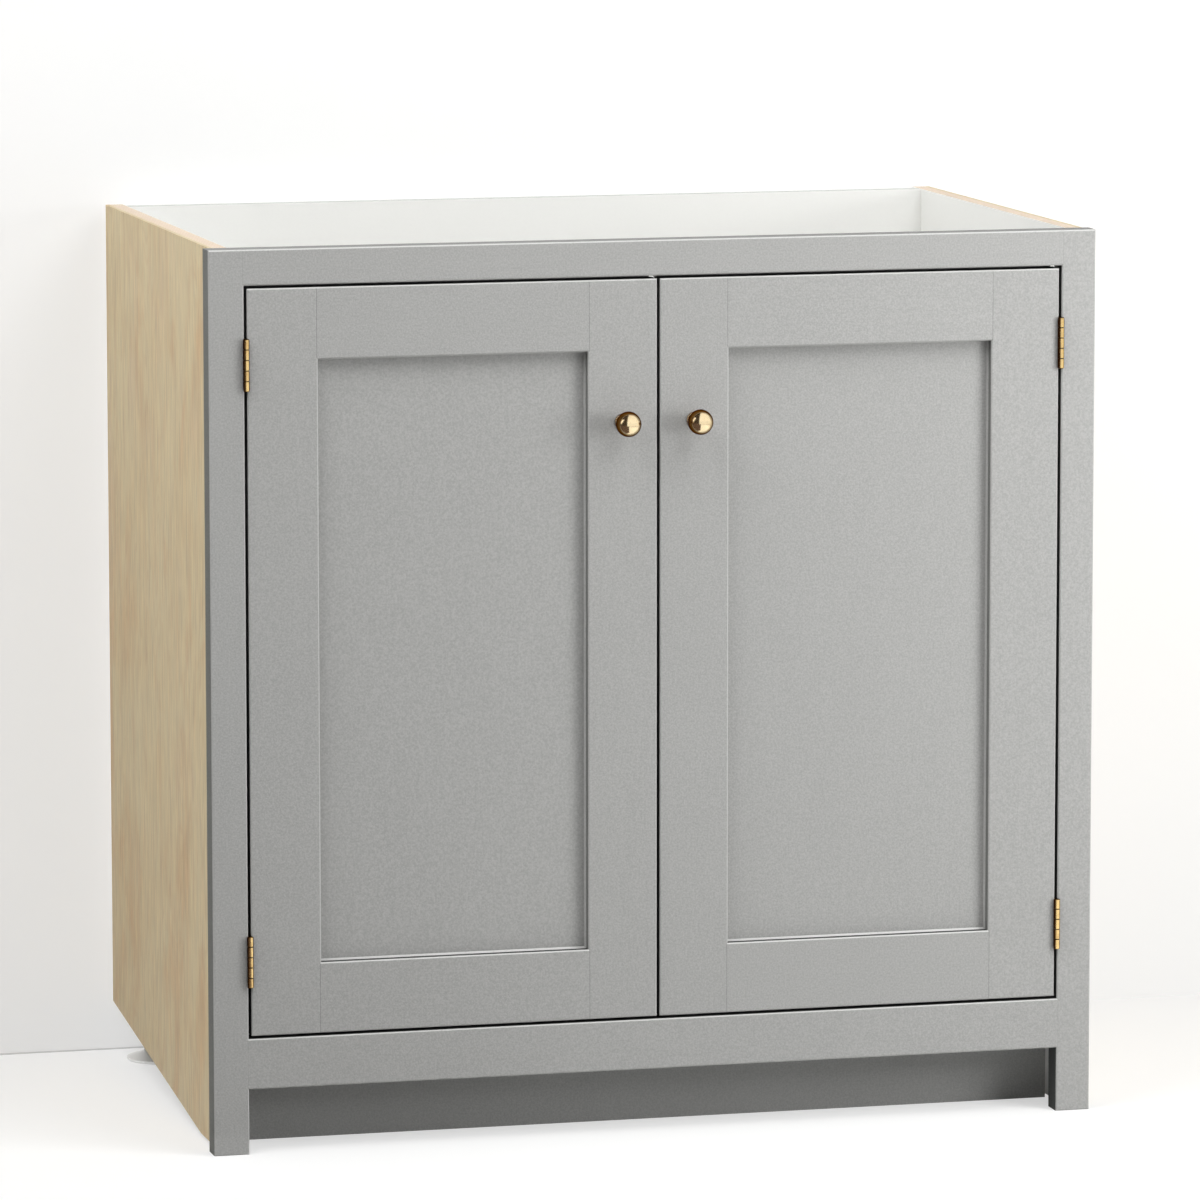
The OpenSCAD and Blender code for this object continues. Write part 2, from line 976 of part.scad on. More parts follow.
module door_hinge_screws(right) {
    color(brass)
        for (upper = [false, true], s = hinge_screws)
            on_hinge(right, upper)
                translate([leaf_space / 2, s[0], s[1]])
                    rotate([0, 90, 0])
                        screw(hinge_head_d, hinge_shank_d, hinge_screw_l);
}

module left_hinge_screws() {
    door_hinge_screws(false);
}

module right_hinge_screws() {
    door_hinge_screws(true);
}

// Doors

// Section of a stile: eased front edges, recess wall, foot bevel and panel groove
module stile_section() {
    w = door_stile_w;
    polygon([
        [0, ease], [ease, 0], [w - ease, 0], [w, ease],
        [w, panel_set - foot_bevel], [w + foot_bevel, panel_set],
        [w - groove_d, panel_set], [w - groove_d, panel_set + groove_t],
        [w, panel_set + groove_t], [w, door_t], [0, door_t]
    ]);
}

// A stile with its outer edge at X = 0, its ends eased like its edges
module door_stile_blank() {
    intersection() {
        linear_extrude(height = door_h)
            stile_section();
        bar_x(door_stile_w + foot_bevel)
            polygon([
                [ease, 0], [door_t, 0], [door_t, door_h],
                [ease, door_h], [0, door_h - ease], [0, ease]
            ]);
    }
}

module meeting_stile_blank() {
    translate([door_w, 0, 0])
        mirror([1, 0, 0])
            door_stile_blank();
}

module hinge_stile() {
    difference() {
        door_stile_blank();
        for (level = hinge_levels, s = hinge_screws)
            translate([-leaf_t, s[0] - axis_proud, level + s[1]])
                rotate([0, 90, 0])
                    screw_hole(hinge_head_d, hinge_shank_d, hinge_screw_l);
    }
}

module meeting_stile() {
    difference() {
        meeting_stile_blank();
        translate([knob_x, -cut_over, door_h - knob_drop])
            rod_y(knob_screw_d + 2 * knob_fit, door_t + 2 * cut_over);
        translate([strike_x, door_t + strike_t, strike_z])
            rotate([90, 0, 0])
                screw_hole(fix_head_d, fix_shank_d, fix_screw_l);
    }
}

// Section of the bottom rail in Y and Z, worked like the stiles
module rail_section() {
    h = door_rail_h;
    polygon([
        [ease, 0], [door_t, 0], [door_t, h],
        [panel_set + groove_t, h], [panel_set + groove_t, h - groove_d],
        [panel_set, h - groove_d], [panel_set, h + foot_bevel],
        [panel_set - foot_bevel, h], [ease, h], [0, h - ease], [0, ease]
    ]);
}

// A rail whose ends are coped over the stiles and keep a stub tenon in their grooves
module bottom_rail() {
    difference() {
        translate([door_stile_w - groove_d, 0, 0])
            bar_x(door_w - 2 * door_stile_w + 2 * groove_d)
                rail_section();
        door_stile_blank();
        meeting_stile_blank();
    }
}

module top_rail() {
    translate([0, 0, door_h])
        mirror([0, 0, 1])
            bottom_rail();
}

module door_panel() {
    reach = groove_d - panel_play;
    translate([door_stile_w - reach, panel_set, door_rail_h - reach])
        cube([
            door_w - 2 * door_stile_w + 2 * reach,
            panel_t,
            door_h - 2 * door_rail_h + 2 * reach
        ]);
}

// Half the knob's outline, its reach along Y: a round-edged rose, a waisted neck and a ball
module knob_outline() {
    ball_r = ball_d / 2;
    ball_y = knob_reach - ball_r;
    flare_r = neck_d / 2 + neck_flare;
    neck_end = ball_y - sqrt(ball_r * ball_r - flare_r * flare_r);
    half_l = (neck_end - rose_t) / 2;
    cove_r = (half_l * half_l + neck_flare * neck_flare) / (2 * neck_flare);
    square([rose_d / 2 - rose_t / 2, rose_t]);
    translate([rose_d / 2 - rose_t / 2, rose_t / 2])
        circle(d = rose_t);
    difference() {
        square([flare_r, ball_y]);
        translate([neck_d / 2 + cove_r, rose_t + half_l])
            circle(r = cove_r);
    }
    translate([0, ball_y])
        circle(d = ball_d);
}

// A turned ball knob, pointing along -Y
module knob() {
    translate([knob_x, 0, door_h - knob_drop])
        rotate([90, 0, 0])
            difference() {
                rotate_extrude()
                    intersection() {
                        knob_outline();
                        square([knob_reach, 2 * knob_reach]);
                    }
                translate([0, 0, -cut_over])
                    cylinder(d = knob_screw_d + 2 * joint_fit, h = cut_over + knob_thread + screw_relief);
            }
}

// The machine screw that holds the knob, its pan head on the back of the door
module knob_screw() {
    translate([knob_x, door_t, door_h - knob_drop])
        difference() {
            union() {
                rod_y(knob_head_d, knob_head_h);
                translate([0, -door_t - knob_thread, 0])
                    rod_y(knob_screw_d, door_t + knob_thread + knob_head_h / 2);
            }
            translate([-cross_w / 2, knob_head_h - cross_deep, -knob_head_d])
                cube([cross_w, cross_deep + cut_over, 2 * knob_head_d]);
            translate([-knob_head_d, knob_head_h - cross_deep, -cross_w / 2])
                cube([2 * knob_head_d, cross_deep + cut_over, cross_w]);
        }
}

// The round steel plate that the catch pulls on
module strike() {
    difference() {
        translate([strike_x, door_t, strike_z])
            rod_y(strike_d, strike_t);
        translate([strike_x, door_t + strike_t, strike_z])
            rotate([90, 0, 0])
                screw_hole(fix_head_d, fix_shank_d, fix_screw_l);
    }
}

module strike_screw() {
    translate([strike_x, door_t + strike_t, strike_z])
        rotate([90, 0, 0])
            screw(fix_head_d, fix_shank_d, fix_screw_l);
}

module left_door_hinge_stile() {
    color(paint)
        on_door(false)
            hinge_stile();
}

module left_door_meeting_stile() {
    color(paint)
        on_door(false)
            meeting_stile();
}

module left_door_top_rail() {
    color(paint)
        on_door(false)
            top_rail();
}

module left_door_bottom_rail() {
    color(paint)
        on_door(false)
            bottom_rail();
}

module left_door_panel() {
    color(paint)
        on_door(false)
            door_panel();
}

module left_knob() {
    color(brass)
        on_door(false)
            knob();
}

module left_knob_screw() {
    color(steel)
        on_door(false)
            knob_screw();
}

module left_strike() {
    color(steel)
        on_door(false)
            strike();
}

module left_strike_screw() {
    color(steel)
        on_door(false)
            strike_screw();
}

module right_door_hinge_stile() {
    color(paint)
        on_door(true)
            hinge_stile();
}

module right_door_meeting_stile() {
    color(paint)
        on_door(true)
            meeting_stile();
}

module right_door_top_rail() {
    color(paint)
        on_door(true)
            top_rail();
}

module right_door_bottom_rail() {
    color(paint)
        on_door(true)
            bottom_rail();
}

module right_door_panel() {
    color(paint)
        on_door(true)
            door_panel();
}

module right_knob() {
    color(brass)
        on_door(true)
            knob();
}

module right_knob_screw() {
    color(steel)
        on_door(true)
            knob_screw();
}

module right_strike() {
    color(steel)
        on_door(true)
            strike();
}

module right_strike_screw() {
    color(steel)
        on_door(true)
            strike_screw();
}

frame_left_stile();
frame_right_stile();
frame_top_rail();
frame_bottom_rail();
left_side_panel();
right_side_panel();
base_panel();
back_panel();
shelf();
shelf_pegs();
plinth_board();
plinth_blocks();
carcass_dowels();
frame_dowels();
left_leg_socket();
right_leg_socket();
leg_screws();
left_foot();
right_foot();
left_stop_lath();
right_stop_lath();
lath_screws();
left_catch();
right_catch();
catch_plates();
catch_screws();
left_upper_frame_leaf();
left_upper_door_leaf();
left_upper_pin();
left_lower_frame_leaf();
left_lower_door_leaf();
left_lower_pin();
right_upper_frame_leaf();
right_upper_door_leaf();
right_upper_pin();
right_lower_frame_leaf();
right_lower_door_leaf();
right_lower_pin();
frame_hinge_screws();
left_hinge_screws();
right_hinge_screws();
left_door_hinge_stile();
left_door_meeting_stile();
left_door_top_rail();
left_door_bottom_rail();
left_door_panel();
left_knob();
left_knob_screw();
left_strike();
left_strike_screw();
right_door_hinge_stile();
right_door_meeting_stile();
right_door_top_rail();
right_door_bottom_rail();
right_door_panel();
right_knob();
right_knob_screw();
right_strike();
right_strike_screw();
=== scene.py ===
# %% [markdown]
# # A painted base cabinet with two doors
# On the real object a face frame of painted timber stands in front of a box of plywood and white board.
# Two framed doors are set into the frame on brass hinges, and a ball knob of brass pulls each one open.
# Every piece of wood, every hinge leaf and every screw comes here as solid CAD work at its real size.
# It could be built again by hand in Blender, but then the doors and their gaps might drift from the
# CAD ones. So this lesson keeps the solids and gives each one the finish that it has in a workshop,
# then lights it and sets a camera before it.

# %% Load the cabinet
import math

import bpy
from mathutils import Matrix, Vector


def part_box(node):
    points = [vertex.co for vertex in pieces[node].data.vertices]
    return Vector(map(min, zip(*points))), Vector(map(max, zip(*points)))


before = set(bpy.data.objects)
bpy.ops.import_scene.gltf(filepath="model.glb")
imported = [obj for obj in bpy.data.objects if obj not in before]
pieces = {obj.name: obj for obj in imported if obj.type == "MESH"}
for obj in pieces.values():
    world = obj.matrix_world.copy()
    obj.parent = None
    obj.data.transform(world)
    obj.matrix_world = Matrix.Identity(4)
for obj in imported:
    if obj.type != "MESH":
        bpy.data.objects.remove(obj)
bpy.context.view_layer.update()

# %% [markdown]
# ## A bench for mixing finishes
# A finish is a small network: textures feed numbers, numbers feed colours, and all of it ends in one
# shader. The nodes could be dragged in by hand or copied from a library file. A short class is used
# instead, so each finish below reads as a recipe. All patterns are laid out in millimetres of the real
# board, measured in the piece's own space, so the grain stays with a door when it swings. Each piece
# has a number, and its patterns are moved on by that many steps, so no two boards show the same grain.

# %% The bench: adding and joining nodes
MM = 1000.0
PATTERN_STEP = 37.0


class Finish:
    """One material. Its methods add a node and give back the socket that carries the result."""

    def __init__(self, name):
        self.material = bpy.data.materials.new(name)
        self.material.use_nodes = True
        self.tree = self.material.node_tree
        self.shader = self.tree.nodes["Principled BSDF"]
        where = self.tree.nodes.new("ShaderNodeTexCoord")
        self.facing = where.outputs["Normal"]
        self.place = self.vector("SCALE", where.outputs["Object"], scale=MM)
        number = self.tree.nodes.new("ShaderNodeObjectInfo").outputs["Object Index"]
        self.own_place = self.vector("ADD", self.place, self.math("MULTIPLY", number, PATTERN_STEP))

    def feed(self, socket, value):
        if isinstance(value, bpy.types.NodeSocket):
            self.tree.links.new(value, socket)
        elif hasattr(socket.default_value, "__len__") and not hasattr(value, "__len__"):
            socket.default_value = [value] * len(socket.default_value)
        else:
            socket.default_value = value

    def math(self, operation, a, b=0.0, c=0.0, clamp=False):
        node = self.tree.nodes.new("ShaderNodeMath")
        node.operation, node.use_clamp = operation, clamp
        for socket, value in zip(node.inputs, (a, b, c)):
            self.feed(socket, value)
        return node.outputs[0]

    def total(self, start, *parts):
        """start plus each value times its share."""
        for value, share in parts:
            start = self.math("MULTIPLY_ADD", value, share, start)
        return start

    def vector(self, operation, a, b=(0, 0, 0), scale=1.0):
        node = self.tree.nodes.new("ShaderNodeVectorMath")
        node.operation = operation
        self.feed(node.inputs[0], a)
        self.feed(node.inputs[1], b)
        node.inputs[3].default_value = scale
        return node.outputs["Vector"]

    def axes(self, vector):
        node = self.tree.nodes.new("ShaderNodeSeparateXYZ")
        self.feed(node.inputs[0], vector)
        return node.outputs[:3]

    def between(self, value, low, high, out_low=0.0, out_high=1.0):
        """Takes value from low..high to out_low..out_high along a smooth step."""
        node = self.tree.nodes.new("ShaderNodeMapRange")
        node.interpolation_type = "SMOOTHSTEP"
        for socket, v in zip(node.inputs, (value, low, high, out_low, out_high)):
            self.feed(socket, v)
        return node.outputs["Result"]

    def mottle(self, size, stretch=(1, 1, 1), detail=2.0, roughness=0.5, distortion=0.0):
        """Noise with spots of that size in millimetres, drawn out along an axis by stretch."""
        node = self.tree.nodes.new("ShaderNodeTexNoise")
        self.feed(node.inputs["Vector"], self.vector("DIVIDE", self.own_place, stretch))
        settings = {"Scale": 1.0 / size, "Detail": detail, "Roughness": roughness, "Distortion": distortion}
        for key, v in settings.items():
            node.inputs[key].default_value = v
        return node.outputs["Fac"]

    def blend(self, share, first, second, kind="MIX"):
        node = self.tree.nodes.new("ShaderNodeMix")
        node.data_type, node.blend_type = "RGBA", kind
        for socket, v in zip((node.inputs[0], node.inputs[6], node.inputs[7]), (share, first, second)):
            self.feed(socket, v)
        return node.outputs[2]

    def shaded(self, colour, shade):
        return self.blend(1.0, colour, shade, "MULTIPLY")

    def relief(self, height, depth):
        """Surface relief: height from 0 to 1 stands for depth in millimetres."""
        node = self.tree.nodes.new("ShaderNodeBump")
        node.inputs["Strength"].default_value = 1.0
        node.inputs["Distance"].default_value = depth / MM
        self.feed(node.inputs["Height"], height)
        return node.outputs["Normal"]

    def end(self, colour, roughness, normal=None, **plain):
        self.feed(self.shader.inputs["Base Color"], colour)
        self.feed(self.shader.inputs["Roughness"], roughness)
        if normal is not None:
            self.feed(self.shader.inputs["Normal"], normal)
        for key, value in plain.items():
            self.shader.inputs[key.replace("_", " ")].default_value = value
        return self.material


def tint(code):
    """A colour written as on a paint card, turned into the plain light values that shaders want."""
    parts = [int(code[i:i + 2], 16) / 255 for i in (0, 2, 4)]
    return [p / 12.92 if p <= 0.04045 else ((p + 0.055) / 1.055) ** 2.4 for p in parts] + [1.0]


for number, name in enumerate(sorted(pieces)):
    pieces[name].pass_index = number
print("numbered pieces:", len(pieces))

# %% [markdown]
# ## Painted timber
# Frame and doors are brushed with a satin grey. Under the paint the timber's grain still shows as very
# fine ridges that run along each board, and the paint itself dries with a slight stipple. A flat grey
# would look like plastic, and a photograph of wood would be far too strong. So two fine noises, one of
# them drawn out along the board, make the relief and shade the colour a little. Eased edges are painted
# paler in patches as a painted highlight, more where they face up. The faces that look into a gap, lie
# under a rail or in the doors' recesses, and the frame's top edge, are painted darker and matt as painted
# shade. The frame's outer sides are painted a darker, matt grey too. The joints between stiles and rails
# are hairlines where the paint film is broken.

# %% Joints, and faces painted darker, mostly as painted shade
ALONG = {"x": (14, 1, 1), "y": (1, 14, 1), "z": (1, 1, 14)}
HAIRLINE = 0.45
FACE_REACH = 0.4
# The second tint is paler paint for eased edges, a painted highlight.
SEAM_DIRT, PALE_EDGE_HIGHLIGHT = tint("3c3d3b"), tint("dededc")


def seam_lines(f, place, seams, rows):
    """1 on the joints at those distances from the cabinet's middle, between the heights in rows."""
    line = band = 0.0
    for seam in seams:
        away = f.math("ABSOLUTE", f.math("SUBTRACT", f.math("ABSOLUTE", place["x"]), seam))
        line = f.math("MAXIMUM", line, f.between(away, HAIRLINE * 0.3, HAIRLINE, 1.0, 0.0))
    for low, high in rows:
        above, below = f.math("GREATER_THAN", place["z"], low), f.math("LESS_THAN", place["z"], high)
        band = f.math("MAXIMUM", band, f.math("MULTIPLY", above, below))
    return f.math("MULTIPLY", line, band)


def darkened_faces(f, place, square_on, darkened):
    """A mask and a darker tint, mostly painted shade, for each entry: an axis, places along it, and the
    tint's code.
    """
    for axis, places, code in darkened:
        spot = f.math("ABSOLUTE", place["x"]) if axis == "x" else place[axis]
        close = 0.0
        for at in places:
            close = f.math("MAXIMUM", close, f.math("COMPARE", spot, at, FACE_REACH))
        yield f.math("MULTIPLY", f.math("GREATER_THAN", square_on[axis], 0.9), close), tint(code)


print("a joint is a hairline of", 2 * HAIRLINE, "mm")


# %% The paint recipe
def painted_board(name, colour, along, seams=(), seam_rows=(), seam_depth=0.4, darkened=()):
    """Satin paint on a board whose grain runs along that axis."""
    f = Finish(name)
    place = dict(zip("xyz", f.axes(f.place)))
    facing = dict(zip("xyz", f.axes(f.facing)))
    square_on = {axis: f.math("ABSOLUTE", n) for axis, n in facing.items()}
    ridges = f.mottle(1.4, ALONG[along], detail=3.0, roughness=0.6)
    stipple = f.mottle(1.8, detail=3.0, roughness=0.7)
    wide = f.mottle(120.0)
    coarse = f.mottle(9.0, ALONG[along])
    spots = f.between(stipple, 0.3, 0.7)
    shade = f.total(0.795, (wide, 0.05), (coarse, 0.03), (ridges, 0.08), (spots, 0.25))
    coat = f.shaded(colour, shade)
    line = seam_lines(f, place, seams, seam_rows)
    coat = f.blend(f.math("MULTIPLY", line, seam_depth), coat, SEAM_DIRT)
    # Faces in gaps, under rails, in recesses and on the frame's top get darker tints as painted shade; the
    # frame's outer sides get a darker grey.
    matt = 0.0
    for mask, darker_tint in darkened_faces(f, place, square_on, darkened):
        coat = f.blend(mask, coat, f.shaded(darker_tint, shade))
        matt = f.math("MAXIMUM", matt, mask)
    flat = f.math("MAXIMUM", f.math("MAXIMUM", square_on["x"], square_on["y"]), square_on["z"])
    arris = f.math("MULTIPLY", f.between(flat, 0.97, 0.85), f.between(f.mottle(2.6), 0.2, 0.5, 0.7, 1.0))
    # Eased edges get paler paint in patches as a painted highlight, stronger where they face up.
    edge_highlight = f.math("MULTIPLY", arris, f.between(facing["z"], 0.3, 0.6, 0.38, 0.75))
    coat = f.blend(edge_highlight, coat, PALE_EDGE_HIGHLIGHT)
    sheen = f.total(0.34, (stipple, 0.16), (wide, 0.10), (matt, 0.4))
    height = f.total(0.0, (ridges, 0.25), (stipple, 0.75), (line, -0.5))
    return f.end(coat, sheen, f.relief(height, 0.22))


# %% [markdown]
# The recipe has to know where joints and faces lie. They could be looked up piece by piece, but joints
# and recesses have no piece of their own, so they are written once, in millimetres. Widths are counted
# from the cabinet's middle and hold for both halves, heights are counted from the floor.

# %% Mix the paints
FRAME_OUTER, FRAME_INNER, FRAME_SEAM = 450, 415, 416.2
FRAME_BOTTOM_RAIL, FRAME_TOP_RAIL = (65, 115), (855, 890)
DOOR_OUTER, DOOR_MEETING = 412, 1.5
RECESS_WALLS, DOOR_SEAMS = (342, 71.5), (343.2, 70.3)
DOOR_BOTTOM_RAIL, DOOR_TOP_RAIL = (118, 188), (782, 852)

# Darker tints follow GREY: painted shade for the recesses and the lath, painted shade for the frame's top,
# a darker grey for the frame's outer sides, and deep painted shade for faces in gaps and on the doors'
# ledges.
GREY, MID_SHADE, TOP_SHADE, OUTER_SIDE_GREY, DEEP_SHADE = "b0b0ae", "838381", "898987", "7c7d7a", "454644"
frame_parts = dict(
    seams=(FRAME_SEAM,), seam_rows=(FRAME_BOTTOM_RAIL, FRAME_TOP_RAIL), seam_depth=0.12,
    darkened=(
        ("x", (FRAME_INNER,), DEEP_SHADE),
        ("x", (FRAME_OUTER,), OUTER_SIDE_GREY),
        ("z", (*FRAME_BOTTOM_RAIL, FRAME_TOP_RAIL[0]), DEEP_SHADE),
        ("z", (FRAME_TOP_RAIL[1],), TOP_SHADE)))
door_parts = dict(
    seams=DOOR_SEAMS, seam_rows=(DOOR_BOTTOM_RAIL, DOOR_TOP_RAIL),
    darkened=(
        ("x", (DOOR_MEETING, DOOR_OUTER), DEEP_SHADE),
        ("x", RECESS_WALLS, MID_SHADE),
        ("z", (*DOOR_BOTTOM_RAIL, DOOR_TOP_RAIL[1]), DEEP_SHADE),
        ("z", (DOOR_TOP_RAIL[0],), MID_SHADE)))
finishes = {
    "frame_upright": painted_board("Frame paint, grain upright", tint(GREY), "z", **frame_parts),
    "frame_level": painted_board("Frame paint, grain level", tint(GREY), "x", **frame_parts),
    "door_upright": painted_board("Door paint, grain upright", tint(GREY), "z", **door_parts),
    "door_level": painted_board("Door paint, grain level", tint(GREY), "x", **door_parts),
    "door_panel": painted_board("Door paint, panel", tint(GREY), "z"),
    # The plinth's paint is a little darker as painted shade under the bottom rail.
    "plinth": painted_board("Plinth paint with painted shade", tint("a8a8a6"), "x"),
    # The lath behind the doors is painted dark as painted shade, so the gaps read dark.
    "lath": painted_board("Lath, dark with painted shade", tint(MID_SHADE), "x"),
}
print("paint recipes:", len(finishes))

# %% [markdown]
# ## Plywood with a maple face
# The two sides are plywood with maple on the outside and a white face inside. Their cut edges show the
# plies, thin lines of paler and redder wood, and a thicker band of maple along the outside. Three
# materials on hand-picked faces would work, but the faces come from the solids and may change. Here
# one recipe looks at which way the surface faces and at how deep into the board a point lies, and
# chooses veneer, white face or plies from that.

# %% The maple
def maple_figure(f):
    """Maple veneer: pale tan with soft orange and pink clouds, faint arches and very fine fibres."""
    long, short, fibre = (1, 1, 8), (1, 1, 2), (1, 1, 60)
    orange = f.mottle(80.0, short, detail=4.0, roughness=0.6, distortion=0.6)
    pink = f.mottle(95.0, short)
    pale = f.mottle(110.0)
    streaks = f.mottle(24.0, long, detail=4.0, roughness=0.65, distortion=0.3)
    arches = f.mottle(42.0, long, detail=0.0, distortion=0.9)
    rings = f.math("SINE", f.math("MULTIPLY", arches, 75.0))
    bands = f.mottle(7.0, long, detail=4.0, roughness=0.7)
    fibres = f.mottle(0.9, fibre, detail=3.0, roughness=0.7)
    flecks = f.between(f.mottle(1.5, fibre, detail=1.0), 0.62, 0.74, 0.0, 0.5)
    layers = (
        (f.between(streaks, 0.45, 0.80, 0.0, 0.50), "dab17a"),
        (f.between(pale, 0.35, 0.65, 0.0, 0.45), "ecdbb1"),
        (f.between(pink, 0.50, 0.75, 0.0, 0.45), "e2c3a2"),
        (f.between(orange, 0.48, 0.72, 0.0, 0.50), "d9aa70"),
        (f.between(rings, 0.2, 1.0, 0.0, 0.15), "cfa269"),
        (flecks, "b58a58"))
    wood = tint("e7d1a3")
    for share, code in layers:
        wood = f.blend(share, wood, tint(code))
    return f.shaded(wood, f.total(0.345, (fibres, 0.75), (bands, 0.52))), fibres


# %% The side boards
WHITE_FACE, PALE_PLY, RED_PLY = tint("fbfbf8"), tint("e2d2bf"), tint("cdb499")
PLY_PAIR, LIPPING = 2.8, 4.2
side_low, side_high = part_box("right_side_panel")
side_inner, side_thick = side_low.x * MM, (side_high.x - side_low.x) * MM


def side_board(name):
    """Both sides share it: depth counts millimetres from the white face towards the maple."""
    f = Finish(name)
    x = f.axes(f.place)[0]
    outward = f.math("MULTIPLY", f.axes(f.facing)[0], f.math("SIGN", x))
    depth = f.math("SUBTRACT", f.math("ABSOLUTE", x), side_inner)
    wood, fibres = maple_figure(f)
    skin = f.mottle(2.4)
    layer = f.math("SINE", f.math("MULTIPLY", depth, 2 * math.pi / PLY_PAIR))
    end_grain = f.mottle(1.2, (30, 30, 1), detail=3.0)
    plies = f.blend(f.between(layer, -0.5, 0.5), PALE_PLY, RED_PLY)
    edge = f.shaded(plies, f.total(0.91, (end_grain, 0.18)))
    edge = f.blend(f.between(depth, 0.35, 0.55, 1.0, 0.0), edge, WHITE_FACE)
    maple_from = side_thick - LIPPING
    edge = f.blend(f.between(depth, maple_from - 0.2, maple_from), edge, f.shaded(wood, 0.78))
    colour = f.blend(f.math("GREATER_THAN", outward, 0.5), edge, wood)
    inner = f.math("LESS_THAN", outward, -0.5)
    colour = f.blend(inner, colour, f.shaded(WHITE_FACE, f.total(0.99, (skin, 0.02))))
    rough = f.blend(inner, f.total(0.42, (fibres, 0.14)), 0.36)
    return f.end(colour, rough, f.relief(f.blend(inner, fibres, skin), 0.05))


finishes["side"] = side_board("Side board")
print("side board starts", round(side_inner, 1), "mm out and is", round(side_thick, 1), "mm thick")

# %% [markdown]
# ## White board and plain wood
# Back, base and shelf are white all over. The back's top edge shows as a neutral grey line in the
# photograph, so their cut edges carry a tape a little greyer than the faces. The plinth blocks and the
# dowels inside are bare wood. They could share the maple, but it is a veneer cut for its figure, and
# these are plain stock, so they get straight rings and rougher fibres.

# %% The board and wood recipes
def white_board(name, level, edge):
    """level is the axis square to the board's two faces. The other sides are cut edges with a tape
    of the tint edge."""
    f = Finish(name)
    skin = f.mottle(2.4)
    wide = f.mottle(150.0, detail=3.0)
    tape = f.mottle(0.8, (40, 1, 1))
    cut = f.math("LESS_THAN", f.math("ABSOLUTE", f.axes(f.facing)["xyz".index(level)]), 0.5)
    shade = f.total(0.97, (f.blend(cut, skin, tape), 0.03), (wide, 0.03))
    return f.end(f.shaded(f.blend(cut, WHITE_FACE, edge), shade), 0.36, f.relief(skin, 0.04))


def plain_wood(name, along):
    f = Finish(name)
    rings = f.mottle(7.0, ALONG[along], distortion=0.6)
    late = f.between(f.math("SINE", f.math("MULTIPLY", rings, 40.0)), 0.1, 0.95, 0.0, 0.5)
    fibres = f.mottle(0.7, ALONG[along], detail=3.0, roughness=0.7)
    wood = f.shaded(f.blend(late, tint("ead2a4"), tint("c99d62")), f.total(0.9, (fibres, 0.2)))
    return f.end(wood, f.total(0.55, (fibres, 0.2)), f.relief(fibres, 0.12))


finishes["level_board"] = white_board("White board, level", "z", tint("e2e3de"))
finishes["back_board"] = white_board("White board, upright", "y", tint("b8b9b4"))
finishes["blocks"] = plain_wood("Sawn softwood", "z")
finishes["dowels"] = plain_wood("Dowel beech", "y")
print("board finishes ready:", len(finishes))

# %% [markdown]
# ## Brass and steel
# The knobs are turned and polished, the hinges are drawn bars with a softer shine, and both have gone a
# little brown in patches. The side of each that turns away to the door is painted a darker brown, a
# painted reflection of the shade beside it. Plain metal with one roughness would look like gold foil.
# The turning lines follow the knob's own axis, so noise that changes only along that axis draws rings
# round the ball without any unwrapping.

# %% The metal recipe
TARNISH_SIZE = 26.0
JOINT_BROWN = tint("573b1a")
DOOR_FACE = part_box("left_door_hinge_stile")[0].y * MM


def worked_metal(name, bright, dull, lines, line_size, rough, relief_depth,
                 edge=None, ends=False, back=None):
    """lines is how far the tool marks are drawn out along x, y and z. edge is the tint at a glancing
    look. ends asks for the brown rings that settle where one knuckle meets the next. back is a painted
    reflection: the darker brown on what turns away to the door, standing for the shade mirrored there:
    from how square on to how far round it sets in, and its tint."""
    f = Finish(name)
    marks = f.mottle(line_size, lines, roughness=0.6)
    cloud = f.mottle(TARNISH_SIZE, detail=3.0, roughness=0.6)
    spots = f.between(f.mottle(1.9, detail=3.0), 0.58, 0.74, 0.0, 0.25)
    age = f.math("ADD", f.between(cloud, 0.45, 0.75, 0.0, 0.5), spots, clamp=True)
    metal = f.blend(age, bright, dull)
    # The side turned to the door is painted darker brown, a painted reflection of shade.
    if back:
        start, full, code = back
        turned = f.between(f.axes(f.facing)[1], start, full)
        before_door = f.math("LESS_THAN", f.axes(f.place)[1], DOOR_FACE)
        metal = f.blend(f.math("MULTIPLY", turned, before_door), metal, tint(code))
    if ends:
        ring = f.between(f.math("ABSOLUTE", f.axes(f.facing)[2]), 0.25, 0.5)
        metal = f.blend(ring, metal, JOINT_BROWN)
    f.end(metal, f.total(rough, (marks, 0.14), (age, 0.14)), f.relief(marks, relief_depth), Metallic=1.0)
    if edge:
        f.shader.inputs["Specular Tint"].default_value = tint(edge)
    return f.material


# %% Mix the metals
BRASS, OLD_BRASS = tint("f7e2b8"), tint("d6b07a")
ALL_WAYS = (1, 1, 1)
# back= paints the side turned to the door darker brown, a painted reflection of the shade there.
finishes["knob"] = worked_metal(
    "Turned brass", BRASS, OLD_BRASS, (60, 1, 60), 0.35, 0.08, 0.004,
    edge="75553a", back=(-0.71, -0.47, "8c6539"))
finishes["hinge"] = worked_metal(
    "Drawn brass", tint("f0cf90"), tint("b98a4b"), (1, 1, 30), 0.3, 0.18, 0.006,
    edge="8a6a40", ends=True, back=(-0.86, -0.60, "4a2c16"))
finishes["brass_screw"] = worked_metal("Brass screws", BRASS, OLD_BRASS, ALL_WAYS, 0.5, 0.26, 0.01)
finishes["steel"] = worked_metal("Plated steel", tint("c9cbcc"), tint("9b9a90"), ALL_WAYS, 0.8, 0.28, 0.01)
print("the knobs' brown backs lie before the door face at", round(DOOR_FACE, 2), "mm")

